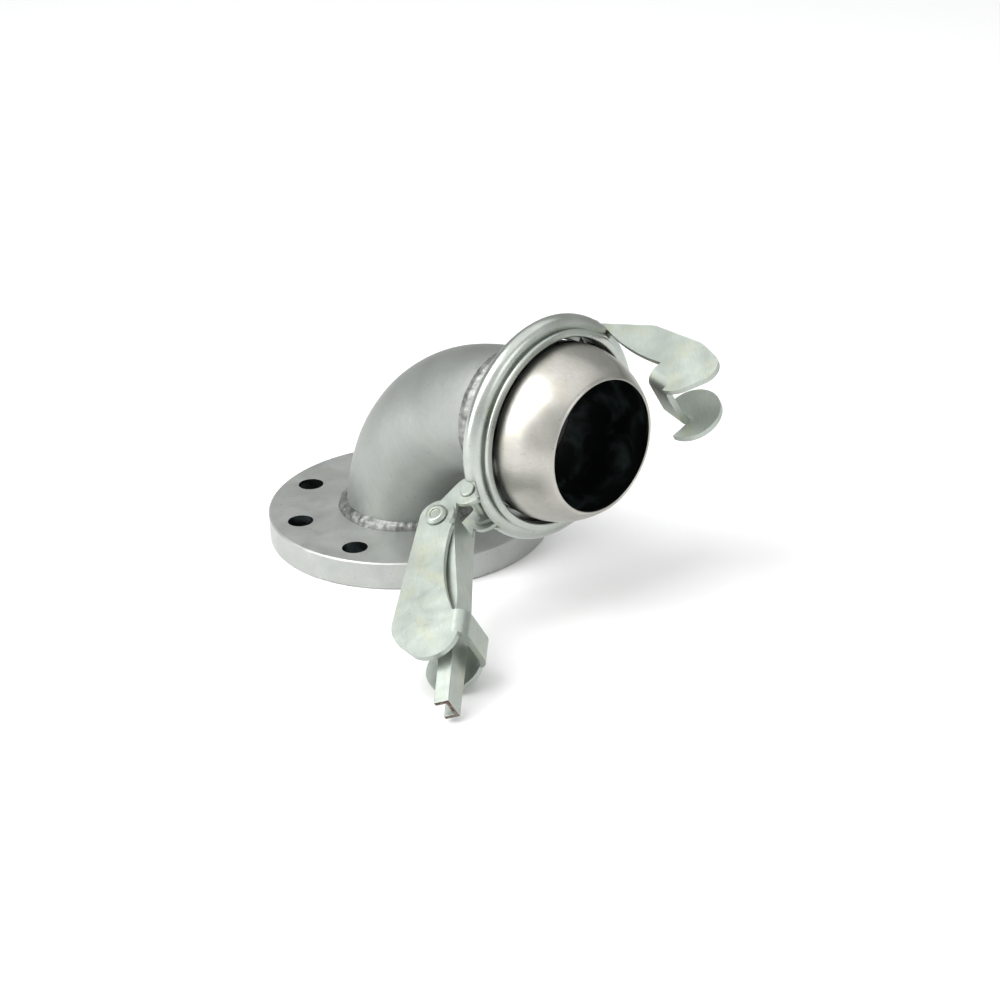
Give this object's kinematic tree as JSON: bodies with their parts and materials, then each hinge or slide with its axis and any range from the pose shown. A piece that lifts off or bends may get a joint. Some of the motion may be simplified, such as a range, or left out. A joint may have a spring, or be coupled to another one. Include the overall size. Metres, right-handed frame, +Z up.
{
  "type": "flanged pipe bend",
  "caption": "Galvanised 90 degree pipe bend with a bolt flange at one end and a lever-lock ball coupling at the other",
  "frame": {"origin": "centre of the flange's sealing face", "axes": "+Z up the flange axis, +X out of the ball coupling along the outlet axis"},
  "size_m": [0.3495, 0.287, 0.1969],
  "materials": {
    "plate_zinc": "galvanised, matt",
    "pipe_zinc": "galvanised, satin",
    "ball_zinc": "galvanised, smooth and bright",
    "ring_zinc": "zinc plated, satin",
    "lever_zinc": "zinc plated, satin",
    "weld_zinc": "galvanised weld, lumpy"
  },
  "bodies": {
    "root": {"flange": "plate_zinc", "elbow": "pipe_zinc", "flange_weld_outer": "weld_zinc", "flange_weld_inner": "weld_zinc", "elbow_seam_weld": "weld_zinc", "neck_tube": "pipe_zinc", "ball_shell": "ball_zinc", "ball_weld": "weld_zinc"},
    "ring": {"closure_ring": "ring_zinc", "lever_lugs": "lever_zinc", "lever_pin": "lever_zinc", "claw_lugs": "lever_zinc", "claw_pin": "lever_zinc"},
    "lever": {"hand_lever": "lever_zinc", "claw_rivet": "lever_zinc", "rivet_washer": "lever_zinc"},
    "lever_claw": {"lever_claw": "lever_zinc"},
    "ring_claw": {"ring_claw": "lever_zinc"}
  },
  "joints": [
    {"name": "ring_turn", "type": "hinge", "parent": "root", "child": "ring", "pos_m": [0.146, 0, 0.1193], "axis": [1, 0, 0], "range_deg": [-240, 2]},
    {"name": "lever_swing", "type": "hinge", "parent": "ring", "child": "lever", "pos_m": [0.138, -0.06172, 0.08222], "axis": [0, 0.515, -0.8572], "range_deg": [-45, 85]},
    {"name": "lever_claw_swing", "type": "hinge", "parent": "lever", "child": "lever_claw", "pos_m": [0.1344, -0.08497, 0.06825], "axis": [0, 0.515, -0.8572], "range_deg": [-40, 3]},
    {"name": "ring_claw_swing", "type": "hinge", "parent": "ring", "child": "ring_claw", "pos_m": [0.141, 0.05786, 0.15407], "axis": [0, -0.515, 0.8572], "range_deg": [0, 110]}
  ]
}
